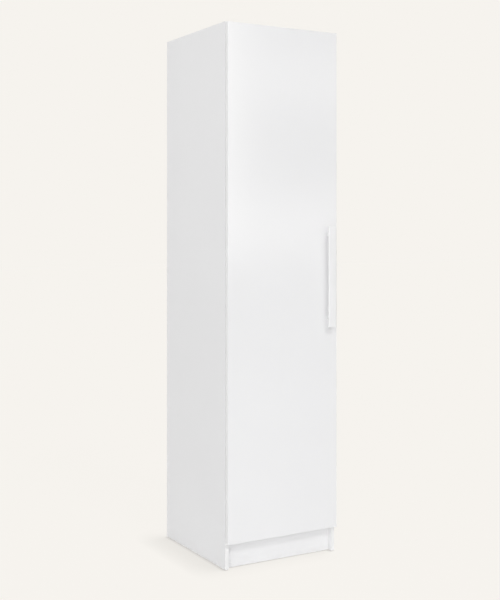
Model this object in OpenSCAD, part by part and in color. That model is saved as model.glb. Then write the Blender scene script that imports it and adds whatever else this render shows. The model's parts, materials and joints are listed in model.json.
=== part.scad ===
// One-door wardrobe: a board carcass on a recessed plinth, a full-overlay door on concealed four-bar
// hinges, a hat shelf, a hanging rail and one adjustable shelf. Millimetres, +Z up, the front faces -Y.
// The origin lies on the floor, under the middle of the whole outline.

/* [Overall] */
// Width over the side panels
width = 480; // [420:5:600]
// Height from the floor to the top of the side panels
height = 2000; // [1800:10:2300]
// Depth of the side panels, front edge band included
depth = 490; // [420:5:600]

/* [Boards] */
// Thickness of the carcass boards
board_t = 15; // [15:0.5:19]
// Thickness of the door board
door_t = 16; // [15:0.5:22]
// Thickness of the hardboard back
back_t = 3; // [2.5:0.5:5]
// Thickness of the edge bands
band_t = 0.8; // [0.4:0.1:1.5]

/* [Plinth and door] */
// Height of the underside of the bottom panel over the floor
plinth_top = 95; // [80:5:150]
// How far the plinth stands back behind the front edges
plinth_recess = 20; // [10:1:60]
// Reveal between a side edge of the door and the outer face of the side panel
door_side_reveal = 1; // [0.5:0.5:2]
// Reveal over and under the door
door_end_reveal = 2.5; // [1:0.5:6]
// Gap between the closed door and the carcass
door_gap = 2; // [1.5:0.5:4]

/* [Handle] */
// Length of the handle bar
handle_length = 384; // [340:1:500]
// Width of the handle bar
handle_width = 32; // [20:1:45]
// Thickness of the handle bar
handle_t = 8; // [6:0.5:12]
// Clear finger gap behind the handle bar
handle_standoff = 20; // [18:1:40]
// Spacing of the two handle screws
handle_spacing = 320; // [200:1:330]
// Diameter of a handle post
handle_post_d = 14; // [10:1:18]
// Radius of the bar's long edges
handle_edge_r = 3; // [0.5:0.5:3]
// Radius of the bar's corners, seen from the front
handle_corner_r = 3; // [1:0.5:8]
// Height of the handle's middle over the floor
handle_z = 1062; // [800:1:1300]
// Distance from the handle bar to the door's opening edge
handle_edge_gap = 21; // [10:1:60]

/* [Inside] */
// Height of the underside of the fixed hat shelf over the floor
hat_shelf_z = 1640; // [1500:10:1700]
// How far the shelves stand back behind the front edges
shelf_setback = 12; // [8:1:40]
// Height of the lowest row of shelf pin holes over the floor
pin_row_z = 340; // [260:1:420]
// Pitch of the rows of pin holes
pin_pitch = 32; // [25:1:64]
// Number of rows of pin holes
pin_rows = 5; // [3:1:9]
// Row that carries the adjustable shelf, counted from 0
shelf_row = 2; // [0:1:2]
// Height of the oval hanging rail's section
rail_h = 30; // [24:1:40]
// Width of the oval hanging rail's section
rail_w = 15; // [12:1:20]
// Wall of the hanging rail
rail_wall = 1.2; // [0.8:0.1:2]
// Distance from the hat shelf down to the middle of the rail
rail_drop = 60; // [50:1:90]

/* [Joinery] */
// Distance of the outer cams from the front and back edges of a board
joint_inset = 60; // [50:1:90]
// Distance of each dowel from its cam
dowel_step = 32; // [25:1:64]
// Diameter of a dowel
dowel_d = 8; // [6:1:8]
// Length of a dowel
dowel_l = 30; // [24:1:40]
// Depth of the dowel holes in the side panels
dowel_side_depth = 11; // [8:1:12]
// Diameter of a cam lock
cam_d = 15; // [12:1:20]
// Height of a cam lock
cam_h = 12; // [11:0.5:13]
// Distance of a cam's middle from the end of its board
cam_offset = 24; // [20:1:34]
// Diameter of a cam bolt's thread
bolt_thread_d = 5; // [4:0.5:6]
// Length of a cam bolt's thread
bolt_thread_l = 11; // [8:1:12]
// Diameter of a cam bolt's head
bolt_head_d = 6; // [5.5:0.5:7]

/* [Back and feet] */
// Distance of the back board from the rear edges
back_inset = 12; // [8:1:20]
// Depth of the grooves that hold the back board
groove_depth = 6; // [4:0.5:8]
// Height of the joiner strip between the two back boards
joiner_h = 24; // [16:1:40]
// Diameter of a floor glide
glide_d = 14; // [10:1:15]
// Thickness of a floor glide
glide_t = 3; // [2:0.5:6]
// Distance of a floor glide from the front and rear edges
glide_inset = 40; // [20:5:100]

/* [Wall fixing] */
// Leg of a wall bracket
bracket_leg = 30; // [24:1:50]
// Width of a wall bracket
bracket_w = 22; // [16:1:30]
// Steel thickness of a wall bracket
bracket_t = 2; // [1.5:0.5:3]
// Diameter of the wall screw's hole
bracket_hole_d = 6; // [4:0.5:8]
// Distance between the two wall brackets
bracket_spacing = 300; // [200:10:340]

/* [Hinges] */
// Number of hinges
hinge_count = 4; // [3:1:5]
// Distance of the outer hinges from the door's ends
hinge_inset = 100; // [80:5:160]
// Diameter of a hinge cup's bore
cup_d = 35; // [35:1:40]
// Depth of a hinge cup
cup_depth = 12; // [12:0.1:12.8]
// Distance from the side panel's inner face to the middle of a hinge cup
cup_offset = 6.5; // [6.5:0.5:9]
// Distance of the mounting plates' screws from the carcass front
plate_inset = 37; // [37:1:45]
// Height of a hinge arm over the side panel
arm_rise = 16; // [15:0.5:18]

/* [Fits] */
// Radial clearance of a pin or a shaft that turns
run_fit = 0.05; // [0.03:0.01:0.1]
// Clearance round a piece that is pressed or screwed in
seat_fit = 0.05; // [0.03:0.01:0.1]
// Play at each end of the rail and of the adjustable shelf
end_play = 0.8; // [0.3:0.1:2]

/* [Hidden] */
$fn = 48;
// Length by which a cutting tool stands past the surface that it cuts
over = 1;

// Planes of the carcass, from the front to the back
handle_out = handle_standoff + handle_t;
total_depth = depth + door_gap + door_t + handle_out;
front_y = -total_depth / 2 + handle_out + door_t + door_gap;
board_front_y = front_y + band_t;
back_y = front_y + depth;
back_rear_y = back_y - back_inset;
back_front_y = back_rear_y - back_t;
shelf_front_y = front_y + shelf_setback;
plinth_front_y = front_y + plinth_recess;

// Planes of the carcass, across and up
inner_w = width - 2 * board_t;
inner_x = inner_w / 2;
top_z = height - board_t;
bottom_z = plinth_top;
panel_zs = [top_z, hat_shelf_z, bottom_z];
joint_ys = [front_y + joint_inset, back_front_y - joint_inset];
dowel_ys = [joint_ys[0] + dowel_step, joint_ys[1] - dowel_step];
groove_fit = 0.5;
groove_play = 0.2;
back_tongue = groove_depth - groove_fit;

// Plinth: two dowels at each end, and two angle blocks behind it under the bottom panel
plinth_z0 = glide_t;
plinth_dowel_edge = 22;
plinth_dowel_zs = [plinth_z0 + plinth_dowel_edge, bottom_z - plinth_dowel_edge];
block_leg = 24;
block_w = 30;
block_t = 4;
block_screw_d = 3.5;
block_screw_l = 14;
block_screw_head = [7, 2];
block_screw_reach = block_leg * 0.6;
block_xs = [-inner_w / 4, inner_w / 4];

// Door
band_joint = 0.05;
door_back_y = front_y - door_gap;
door_front_y = door_back_y - door_t;
door_x = width / 2 - door_side_reveal;
door_z0 = bottom_z + door_end_reveal;
door_z1 = height - door_end_reveal;
handle_x = door_x - handle_edge_gap - handle_width / 2;
handle_zs = [handle_z - handle_spacing / 2, handle_z + handle_spacing / 2];
handle_foot_d = handle_post_d + 4;
handle_foot_t = 1.5;
handle_screw_d = 4;
handle_screw_hole_d = 4.6;
handle_screw_grip = 11;
handle_screw_head = [8, 2.4];
bumper_d = 8;
bumper_air = 0.3;
bumper_inset = 40;
bumper_zs = [door_z0 + bumper_inset, door_z1 - bumper_inset];

// Shelves and rail
shelf_z = pin_row_z + shelf_row * pin_pitch;
shelf_pin_d = 5;
shelf_pin_in = 8;
shelf_pin_hole = 9;
shelf_pin_out = 9;
shelf_pin_seat = 2.5;
shelf_pin_arm_d = 7;
shelf_pin_collar_d = 9;
shelf_pin_collar_t = 1;
pin_rows_z = [for (i = [0 : pin_rows - 1]) pin_row_z - shelf_pin_seat + i * pin_pitch];
pin_ys = [shelf_front_y + 50, back_front_y - 70];
rail_y = (front_y + back_front_y) / 2;
rail_z = hat_shelf_z - rail_drop;
socket_t = 2.5;
socket_reach = 12;
socket_wall = 2.2;
socket_lip = 0.3;
socket_rim = 4;
socket_end = 6;
socket_screw_step = rail_h / 2 + 9;
socket_screw_d = 3.5;
socket_screw_l = 11;
socket_screw_head = [7, 2];

// Joinery
dowel_panel_in = dowel_l - dowel_side_depth + 1;
bolt_hole_d = bolt_head_d + 1;
bolt_neck_d = bolt_head_d - 2.4;
cam_sink = 0.3;
cam_recess = 1.6;
cap_d = cam_d + 2;
cap_t = 1.2;

// Back boards
back_split_z = (bottom_z + top_z) / 2;
joiner_web = 1;
joiner_wall = 1;
nail_d = 1.6;
nail_head_d = 4;
nail_head_t = 0.6;
nail_l = 22;
nail_edge = 30;
nail_xs = [for (i = [-1.5 : 1 : 1.5]) i * (inner_w - 2 * nail_edge) / 3];

// Feet and wall brackets
glide_ys = [front_y + glide_inset, back_y - glide_inset];
glide_nail_d = 2;
glide_nail_l = 14;
bracket_xs = [-bracket_spacing / 2, bracket_spacing / 2];
bracket_hole_reach = bracket_leg * 0.6;
bracket_hole_z = top_z - bracket_hole_reach;
bracket_screw_y = back_front_y - bracket_hole_reach;
bracket_screw_d = 4;
bracket_screw_l = 13;
bracket_screw_head = [8, 2.2];

// Places along the height of the hinges
hinge_z0 = door_z0 + hinge_inset;
hinge_step = (door_z1 - door_z0 - 2 * hinge_inset) / (hinge_count - 1);
hinge_zs = [for (i = [0 : hinge_count - 1]) hinge_z0 + i * hinge_step];

// Pivots of a hinge, from the side panel's inner face and the carcass front for the arm's two, and
// from the cup's middle and the door's back for the cup's two
outer_pivot = [27, 10.5];
inner_pivot = [18, -6.5];
cup_outer_pivot = [cup_offset - 7.7, -door_gap - 2.5];
cup_inner_pivot = [cup_offset - 5.5, -door_gap - 6.2];
outer_knee = [12, -door_gap - 1.6];
inner_knee = [11, -door_gap - 8.8];
outer_pin_d = 3;
inner_pin_d = 2.4;
loose_pin_d = 2;
loose_play = 1;

// Layers of a hinge along Z, counted from its middle plane, with layer_air between them
layer_air = 0.3;
inner_link_half = 4.6;
arm_cheek_z = 5.2;
cheek_t = 1.5;
outer_link_z = arm_cheek_z + cheek_t + layer_air;
outer_link_t = 1.2;
ear_z = outer_link_z + outer_link_t + layer_air;

// Links of a hinge: the width of a link, and the diameters of its eyes at the arm and at the cup
outer_link_w = 4.4;
outer_link_eyes = [6.8, 4.8];
inner_link_w = 3;
inner_link_eyes = [4.8, 6.4];
rivet_air = 0.15;
rivet_d = 4.6;
rivet_h = 0.8;

// Mounting plate: two wings, a foot between them and the raised rail on it. A lead is how far a
// piece starts in front of the wings' screws
plate_t = 2;
plate_w = 12;
plate_foot = [38, 20];
plate_foot_lead = 8;
rail_lead = 6;
rail_l = 34;
rail_air = 0.15;
rail_half = arm_cheek_z - rail_air;
plate_screw_y = front_y + plate_inset;
plate_screw_step = 32;
plate_screw_d = 5;
plate_screw_l = 11;
plate_screw_head = [9, 2.2];

// Arm of a hinge: its tail and its two screws, counted from the wings' screws
arm_tail = 35;
arm_len = plate_inset + arm_tail;
arm_skirt_x = plate_t + 3;
arm_nose = 18;
arm_eye_d = 7;
arm_inner_eye_d = 4.6;
arm_screw_ys = [plate_inset + 7, plate_inset + 23];
arm_screw_d = 5;
arm_screw_head = [8.5, 2.2];

// Cup of a hinge
cup_x = -inner_x + cup_offset;
cup_wall = 0.8;
cup_floor = 0.7;
cup_ear_setback = 1.5;
flange_t = 0.6;
flange_rim = 1.5;
flange_bar = 11;
cup_screw_shift = 5.5;
cup_screw_x = cup_x + cup_screw_shift;
cup_screw_step = 45;
cup_screw_d = 3.5;
cup_screw_l = 11;
cup_screw_head = [6.5, 1];

// A box from its lowest and highest corners
module span_box(low, high) {
    translate(low) cube(high - low);
}

// A round bar or hole of diameter d that starts at p and runs for l along an axis
module along_x(p, d, l) {
    translate(p) rotate([0, 90, 0]) cylinder(h = l, d = d);
}

module along_y(p, d, l) {
    translate(p) rotate([-90, 0, 0]) cylinder(h = l, d = d);
}

module along_z(p, d, l) {
    translate(p) cylinder(h = l, d = d);
}

// Copies of the children on the left and, mirrored, on the right
module both_sides() {
    children();
    mirror([1, 0, 0]) children();
}

// A flat oval, straight up and down, with round ends
module oval(h, w) {
    translate([0, (h - w) / 2]) circle(d = w);
    translate([0, -(h - w) / 2]) circle(d = w);
    square([w, h - w], center = true);
}

// A screw along +Z: its shank starts at z = 0 and its pan head, of diameter head.x and height
// head.y, ends below
module pan_screw(d, l, head) {
    difference() {
        rotate_extrude() polygon([
            [0, -head.y], [head.x * 0.3, -head.y], [head.x / 2, -head.y * 0.45], [head.x / 2, 0],
            [d / 2, 0], [d / 2, l - d / 2], [0, l]
        ]);
        cross_recess(head.x * 0.5, head.x * 0.14, head.y);
    }
}

// The crossed slots of a screw head whose top lies at z = -head_h
module cross_recess(reach, slot, head_h) {
    translate([0, 0, -head_h]) {
        cube([reach, slot, head_h], center = true);
        cube([slot, reach, head_h], center = true);
    }
}

// Side panels
// The left panel's joint holes: dowels and cam bolts of the three fixed boards, and the plinth's dowels
module side_joint_holes() {
    for (z = panel_zs) {
        for (y = joint_ys)
            along_x([-inner_x - bolt_thread_l, y, z + board_t / 2],
                    bolt_thread_d + 2 * seat_fit, bolt_thread_l + over);
        for (y = dowel_ys)
            along_x([-inner_x - dowel_side_depth, y, z + board_t / 2],
                    dowel_d + 2 * seat_fit, dowel_side_depth + over);
    }
    for (z = plinth_dowel_zs)
        along_x([-inner_x - dowel_side_depth, plinth_front_y + board_t / 2, z],
                dowel_d + 2 * seat_fit, dowel_side_depth + over);
}

module side_pin_holes() {
    for (z = pin_rows_z)
        for (y = pin_ys)
            along_x([-inner_x - shelf_pin_hole, y, z],
                    shelf_pin_d + 2 * seat_fit, shelf_pin_hole + over);
}

module side_rail_holes() {
    for (s = [-1, 1])
        along_x([-inner_x - socket_screw_l, rail_y, rail_z + s * socket_screw_step],
                socket_screw_d + 2 * seat_fit, socket_screw_l + over);
}

module side_glide_holes() {
    for (y = glide_ys)
        along_z([-width / 2 + board_t / 2, y, glide_t - over], glide_nail_d + 2 * seat_fit,
                glide_nail_l + seat_fit + over);
}

module side_board() {
    difference() {
        span_box([-width / 2, board_front_y, glide_t], [-inner_x, back_y, height]);
        span_box([-inner_x - groove_depth, back_front_y - groove_play, glide_t - over],
                 [-inner_x + over, back_rear_y + groove_play, height + over]);
        side_joint_holes();
        side_pin_holes();
        side_rail_holes();
        side_glide_holes();
        children();
    }
}

module side_panel_left() {
    color("white") side_board() {
        for (z = hinge_zs)
            for (s = [-1, 1])
                along_x([-inner_x - plate_screw_l, plate_screw_y, z + s * plate_screw_step / 2],
                        plate_screw_d + 2 * seat_fit, plate_screw_l + over);
    }
}

module side_panel_right() {
    color("white") mirror([1, 0, 0]) side_board();
}

module side_front_bands() {
    color("white") both_sides()
        span_box([-width / 2, front_y, glide_t], [-inner_x, board_front_y, height]);
}

// Boards between the sides
// A fixed board at z with its dowel holes, bolt holes and cam bores, cut from above or from below
module fixed_board(z, y0, y1, cams_up) {
    difference() {
        span_box([-inner_x, y0, z], [inner_x, y1, z + board_t]);
        both_sides() {
            for (y = dowel_ys)
                along_x([-inner_x - over, y, z + board_t / 2],
                        dowel_d + 2 * seat_fit, dowel_panel_in + over);
            for (y = joint_ys) {
                along_x([-inner_x - over, y, z + board_t / 2], bolt_hole_d, cam_offset + over);
                translate([-inner_x + cam_offset, y, z + board_t / 2])
                    mirror([0, 0, cams_up ? 0 : 1])
                        along_z([0, 0, board_t / 2 - cam_sink - cam_h - seat_fit],
                                cam_d + 2 * seat_fit, cam_h + cam_sink + seat_fit + over);
            }
        }
        children();
    }
}

module top_panel() {
    color("white") fixed_board(top_z, board_front_y, back_y, true) {
        span_box([-inner_x - over, back_front_y - groove_play, top_z - over],
                 [inner_x + over, back_rear_y + groove_play, top_z + groove_depth]);
        for (x = bracket_xs)
            along_z([x, bracket_screw_y, top_z - over], bracket_screw_d + 2 * seat_fit,
                    bracket_screw_l - bracket_t + seat_fit + over);
    }
}

module bottom_panel() {
    color("white") fixed_board(bottom_z, board_front_y, back_front_y, false) {
        nail_holes(bottom_z + board_t / 2);
        for (x = block_xs)
            along_z([x, plinth_front_y + board_t + block_screw_reach, bottom_z - over],
                    block_screw_d + 2 * seat_fit, block_screw_l - block_t + seat_fit + over);
    }
}

module hat_shelf() {
    color("white") fixed_board(hat_shelf_z, shelf_front_y + band_t, back_front_y, true)
        nail_holes(hat_shelf_z + board_t / 2);
}

module adjustable_shelf() {
    color("white") span_box([-inner_x + end_play, shelf_front_y + band_t, shelf_z],
                            [inner_x - end_play, back_front_y - end_play, shelf_z + board_t]);
}

module panel_front_bands() {
    color("white") {
        for (z = [top_z, bottom_z])
            span_box([-inner_x, front_y, z], [inner_x, board_front_y, z + board_t]);
        span_box([-inner_x, shelf_front_y, hat_shelf_z],
                 [inner_x, shelf_front_y + band_t, hat_shelf_z + board_t]);
        span_box([-inner_x + end_play, shelf_front_y, shelf_z],
                 [inner_x - end_play, shelf_front_y + band_t, shelf_z + board_t]);
    }
}

// Plinth
module plinth_board() {
    color("white") difference() {
        span_box([-inner_x, plinth_front_y, plinth_z0],
                 [inner_x, plinth_front_y + board_t, bottom_z]);
        both_sides() for (z = plinth_dowel_zs)
            along_x([-inner_x - over, plinth_front_y + board_t / 2, z],
                    dowel_d + 2 * seat_fit, dowel_panel_in + over);
        for (x = block_xs)
            along_y([x, plinth_front_y + board_t - block_screw_l + block_t - seat_fit,
                     bottom_z - block_screw_reach],
                    block_screw_d + 2 * seat_fit, block_screw_l);
    }
}

module plinth_blocks() {
    y0 = plinth_front_y + board_t;
    color("gainsboro") for (x = block_xs) difference() {
        translate([x - block_w / 2, y0, bottom_z]) rotate([0, 90, 0]) linear_extrude(block_w)
            polygon([[0, 0], [0, block_leg], [block_t, block_leg], [block_leg, block_t],
                     [block_leg, 0]]);
        span_box([x - block_w / 2 + block_t, y0 + block_t, bottom_z - block_leg - over],
                 [x + block_w / 2 - block_t, y0 + block_leg + over, bottom_z - block_t]);
        along_z([x, y0 + block_screw_reach, bottom_z - block_t - over],
                block_screw_d + 2 * seat_fit, block_t + 2 * over);
        along_y([x, y0 - over, bottom_z - block_screw_reach],
                block_screw_d + 2 * seat_fit, block_t + 2 * over);
    }
}

module plinth_block_screws() {
    y0 = plinth_front_y + board_t;
    color("silver") for (x = block_xs) {
        translate([x, y0 + block_screw_reach, bottom_z - block_t])
            pan_screw(block_screw_d, block_screw_l, block_screw_head);
        translate([x, y0 + block_t, bottom_z - block_screw_reach]) rotate([90, 0, 0])
            pan_screw(block_screw_d, block_screw_l, block_screw_head);
    }
}

// Back: two hardboard halves in the grooves, an H-shaped strip between them, nails into the boards
module back_half(z0, z1) {
    difference() {
        span_box([-inner_x - back_tongue, back_front_y, z0], [inner_x + back_tongue, back_rear_y, z1]);
        children();
    }
}

module nail_holes(z) {
    for (x = nail_xs)
        along_y([x, back_rear_y - nail_l - seat_fit, z], nail_d + 2 * seat_fit, nail_l + over);
}

module back_board_upper() {
    color("gainsboro") back_half(back_split_z + joiner_web / 2, top_z + back_tongue) {
        nail_holes(hat_shelf_z + board_t / 2);
        for (x = bracket_xs)
            along_y([x, back_front_y - over, bracket_hole_z], bracket_hole_d + 2, back_t + 2 * over);
    }
}

module back_board_lower() {
    color("gainsboro") back_half(bottom_z, back_split_z - joiner_web / 2)
        nail_holes(bottom_z + board_t / 2);
}

module back_joiner() {
    color("whitesmoke") translate([-inner_x + end_play, 0, back_split_z]) {
        l = inner_w - 2 * end_play;
        for (y = [back_front_y - joiner_wall, back_rear_y])
            translate([0, y, -joiner_h / 2]) cube([l, joiner_wall, joiner_h]);
        translate([0, back_front_y - joiner_wall / 2, -joiner_web / 2])
            cube([l, back_t + joiner_wall, joiner_web]);
    }
}

module back_nails() {
    color("silver") for (z = [hat_shelf_z, bottom_z]) for (x = nail_xs)
        translate([x, back_rear_y, z + board_t / 2]) rotate([90, 0, 0]) rotate_extrude() polygon([
            [0, -nail_head_t], [nail_head_d / 2, -nail_head_t], [nail_head_d / 2, 0], [nail_d / 2, 0],
            [nail_d / 2, nail_l - nail_d], [0, nail_l]
        ]);
}

// Joinery pieces
// A fluted wooden dowel along +X from x = 0, with chamfered ends
module dowel() {
    chamfer = 1;
    rotate([0, 90, 0]) {
        cylinder(h = chamfer, d1 = dowel_d - 2 * chamfer, d2 = dowel_d);
        translate([0, 0, chamfer]) linear_extrude(dowel_l - 2 * chamfer) difference() {
            circle(d = dowel_d);
            for (a = [45 : 90 : 315]) rotate(a) translate([dowel_d / 2, 0]) circle(d = dowel_d * 0.12);
        }
        translate([0, 0, dowel_l - chamfer])
            cylinder(h = chamfer, d1 = dowel_d, d2 = dowel_d - 2 * chamfer);
    }
}

module dowels() {
    color("burlywood") both_sides() {
        for (z = panel_zs) for (y = dowel_ys)
            translate([-inner_x - dowel_side_depth + seat_fit, y, z + board_t / 2]) dowel();
        for (z = plinth_dowel_zs)
            translate([-inner_x - dowel_side_depth + seat_fit, plinth_front_y + board_t / 2, z])
                dowel();
    }
}

// A cam bolt along +X: thread in the side panel at x < 0, collar, shank, neck and round head
module cam_bolt() {
    head_x = cam_offset + 1.5;
    neck_x = cam_offset - 4;
    rotate([0, 90, 0]) rotate_extrude() polygon([
        [0, -bolt_thread_l + seat_fit], [bolt_thread_d / 2 - 0.8, -bolt_thread_l + seat_fit],
        [bolt_thread_d / 2, -bolt_thread_l + 1.5], [bolt_thread_d / 2, 0], [bolt_head_d / 2, 0],
        [bolt_head_d / 2, neck_x - 2], [bolt_neck_d / 2, neck_x - 1], [bolt_neck_d / 2, head_x - 3],
        [bolt_head_d / 2, head_x - 2], [bolt_head_d / 2, head_x - 0.6],
        [bolt_head_d / 2 - 0.8, head_x], [0, head_x]
    ]);
}

module cam_bolts() {
    color("silver") both_sides() for (z = panel_zs) for (y = joint_ys)
        translate([-inner_x, y, z + board_t / 2]) cam_bolt();
}

// A cam lock whose face lies at z = 0, open towards -X for its bolt
module cam_lock() {
    mid_z = -(board_t / 2 - cam_sink);
    slot_h = bolt_head_d + 0.6;
    difference() {
        translate([0, 0, -cam_h]) cylinder(h = cam_h, d = cam_d);
        translate([-cam_d / 2 - over, -slot_h / 2, mid_z - slot_h / 2])
            cube([cam_d / 2 + over + 2.5, slot_h, slot_h]);
        translate([-cam_d / 2 - over, -cam_d / 2, mid_z - slot_h / 2])
            cube([cam_d * 0.28 + over, cam_d, slot_h]);
        cross_recess(cam_d * 0.45, cam_d * 0.09, cam_recess);
        translate([0, 0, cam_recess]) cross_recess(cam_d * 0.45, cam_d * 0.09, cam_recess);
    }
}

module cam_locks() {
    color("silver") both_sides() for (z = panel_zs) for (y = joint_ys)
        translate([-inner_x + cam_offset, y, z + board_t / 2])
            mirror([0, 0, z == bottom_z ? 1 : 0]) translate([0, 0, board_t / 2 - cam_sink]) cam_lock();
}

module cam_caps() {
    color("white") both_sides() for (z = [top_z, hat_shelf_z]) for (y = joint_ys)
        translate([-inner_x + cam_offset, y, z + board_t]) rotate_extrude() polygon([
            [0, 0], [cap_d / 2, 0], [cap_d / 2, cap_t * 0.4], [cap_d / 2 - 1.4, cap_t], [0, cap_t]
        ]);
}

// Shelf pins, rail and its sockets
module shelf_pins() {
    color("silver") both_sides() for (y = pin_ys)
        translate([-inner_x, y, shelf_z - shelf_pin_seat]) rotate([0, 90, 0]) difference() {
            rotate_extrude() polygon([
                [0, -shelf_pin_in], [shelf_pin_d / 2 - 0.5, -shelf_pin_in],
                [shelf_pin_d / 2, -shelf_pin_in + 0.5], [shelf_pin_d / 2, 0],
                [shelf_pin_collar_d / 2, 0], [shelf_pin_collar_d / 2, shelf_pin_collar_t],
                [shelf_pin_arm_d / 2, shelf_pin_collar_t], [shelf_pin_arm_d / 2, shelf_pin_out],
                [0, shelf_pin_out]
            ]);
            translate([-shelf_pin_collar_d - shelf_pin_seat, -shelf_pin_collar_d, 0])
                cube([shelf_pin_collar_d, 2 * shelf_pin_collar_d, shelf_pin_out + over]);
        }
}

module hanging_rail() {
    l = inner_w - 2 * (socket_t + end_play);
    color("silver") translate([-l / 2, rail_y, rail_z]) rotate([90, 0, 90]) linear_extrude(l)
        difference() {
            oval(rail_h, rail_w);
            oval(rail_h - 2 * rail_wall, rail_w - 2 * rail_wall);
        }
}

module rail_sockets() {
    socket_h = 2 * (socket_screw_step + socket_end);
    color("silver") both_sides() translate([-inner_x, rail_y, rail_z]) rotate([90, 0, 90])
        difference() {
            union() {
                linear_extrude(socket_t) oval(socket_h, rail_w + 2 * socket_rim);
                linear_extrude(socket_t + socket_reach)
                    oval(rail_h + 2 * socket_wall, rail_w + 2 * socket_wall);
            }
            translate([0, 0, socket_t]) linear_extrude(socket_reach + over)
                oval(rail_h + 2 * socket_lip, rail_w + 2 * socket_lip);
            for (s = [-1, 1]) translate([0, s * socket_screw_step, -over])
                cylinder(h = socket_t + 2 * over, d = socket_screw_d + 2 * seat_fit);
        }
}

module rail_socket_screws() {
    color("silver") both_sides() for (s = [-1, 1])
        translate([-inner_x + socket_t, rail_y, rail_z + s * socket_screw_step])
            rotate([0, -90, 0])
                pan_screw(socket_screw_d, socket_screw_l + socket_t - 0.5, socket_screw_head);
}

// Feet
module floor_glides() {
    color("whitesmoke") both_sides() for (y = glide_ys)
        translate([-width / 2 + board_t / 2, y, 0]) rotate_extrude() polygon([
            [0, 0], [glide_d / 2 - 1, 0], [glide_d / 2, 1], [glide_d / 2, glide_t],
            [glide_nail_d / 2, glide_t], [glide_nail_d / 2, glide_t + glide_nail_l - 2],
            [0, glide_t + glide_nail_l]
        ]);
}

// Wall brackets: steel angles under the top panel, in front of the back board
module wall_brackets() {
    color("silver") for (x = bracket_xs) difference() {
        translate([x - bracket_w / 2, back_front_y, top_z]) rotate([0, 90, 0])
            linear_extrude(bracket_w)
                polygon([[0, 0], [0, -bracket_leg], [bracket_t, -bracket_leg],
                         [bracket_t, -bracket_t], [bracket_leg, -bracket_t], [bracket_leg, 0]]);
        along_y([x, back_front_y - bracket_t - over, bracket_hole_z], bracket_hole_d,
                bracket_t + 2 * over);
        along_z([x, bracket_screw_y, top_z - bracket_t - over], bracket_screw_d + 2 * seat_fit,
                bracket_t + 2 * over);
    }
}

module wall_bracket_screws() {
    color("silver") for (x = bracket_xs)
        translate([x, bracket_screw_y, top_z - bracket_t])
            pan_screw(bracket_screw_d, bracket_screw_l, bracket_screw_head);
}

// Soft bumpers on the right panel's front edge, just clear of the closed door
module door_bumpers() {
    color("gainsboro") for (z = bumper_zs)
        translate([width / 2 - board_t / 2, front_y, z]) rotate([90, 0, 0]) rotate_extrude()
            polygon([[0, 0], [bumper_d / 2, 0], [bumper_d / 2, (door_gap - bumper_air) * 0.5],
                     [bumper_d / 2 - 1, door_gap - bumper_air], [0, door_gap - bumper_air]]);
}

// Door
module door_board() {
    color("white") difference() {
        span_box([-door_x + band_t, door_front_y, door_z0 + band_t],
                 [door_x - band_t, door_back_y, door_z1 - band_t]);
        for (z = hinge_zs) {
            along_y([cup_x, door_back_y - cup_depth - seat_fit, z], cup_d + 2 * seat_fit,
                    cup_depth + seat_fit + over);
            for (s = [-1, 1])
                along_y([cup_screw_x, door_back_y - cup_screw_l, z + s * cup_screw_step / 2],
                        cup_screw_d + 2 * seat_fit, cup_screw_l + over);
        }
        for (z = handle_zs)
            along_y([handle_x, door_front_y - over, z], handle_screw_hole_d, door_t + 2 * over);
    }
}

module door_edge_bands() {
    color("white") {
        both_sides() span_box([-door_x, door_front_y, door_z0],
                              [-door_x + band_t, door_back_y, door_z1]);
        for (z = [door_z0, door_z1 - band_t])
            span_box([-door_x + band_t + band_joint, door_front_y, z],
                     [door_x - band_t - band_joint, door_back_y, z + band_t]);
    }
}

// A rectangle round the origin with rounded corners
module rounded_box_2d(w, h, r) {
    square([w - 2 * r, h], center = true);
    square([w, h - 2 * r], center = true);
    for (sx = [-1, 1]) for (sy = [-1, 1])
        translate([sx * (w / 2 - r), sy * (h / 2 - r)]) circle(r = r);
}

module handle() {
    color("white") difference() {
        union() {
            intersection() {
                translate([handle_x, door_front_y - handle_standoff - handle_t / 2,
                           handle_z - handle_length / 2])
                    linear_extrude(handle_length)
                        rounded_box_2d(handle_width, handle_t, handle_edge_r);
                translate([handle_x, door_front_y - handle_standoff + over, handle_z])
                    rotate([90, 0, 0]) linear_extrude(handle_t + 2 * over)
                        rounded_box_2d(handle_width, handle_length, handle_corner_r);
            }
            for (z = handle_zs) {
                along_y([handle_x, door_front_y - handle_standoff - handle_edge_r, z],
                        handle_post_d, handle_standoff + handle_edge_r);
                along_y([handle_x, door_front_y - handle_foot_t, z], handle_foot_d, handle_foot_t);
            }
        }
        for (z = handle_zs)
            along_y([handle_x, door_front_y - handle_screw_grip - 1, z],
                    handle_screw_d + 2 * seat_fit, handle_screw_grip + 1 + over);
    }
}

module handle_screws() {
    color("silver") for (z = handle_zs)
        translate([handle_x, door_back_y, z]) rotate([90, 0, 0])
            pan_screw(handle_screw_d, door_t + handle_screw_grip, handle_screw_head);
}

// Hinges
// Copies of the children at every hinge, with x = 0 on the side panel's inner face, y = 0 on the
// carcass front and z = 0 in the hinge's middle plane
module at_hinges() {
    for (z = hinge_zs) translate([-inner_x, front_y, z]) children();
}

// Copies of the children above and, mirrored, below a hinge's middle plane
module both_cheeks() {
    children();
    mirror([0, 0, 1]) children();
}

// A flat bar of width w from p to q
module bar_2d(p, q, w) {
    d = q - p;
    translate(p) rotate(atan2(d.y, d.x)) translate([0, -w / 2]) square([norm(d), w]);
}

// A cranked link from p over its knee to q, with a round eye at p and one at q
module link_2d(p, knee, q, w, eyes) {
    bar_2d(p, knee, w);
    bar_2d(knee, q, w);
    translate(knee) circle(d = w);
    translate(p) circle(d = eyes[0]);
    translate(q) circle(d = eyes[1]);
}

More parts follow.
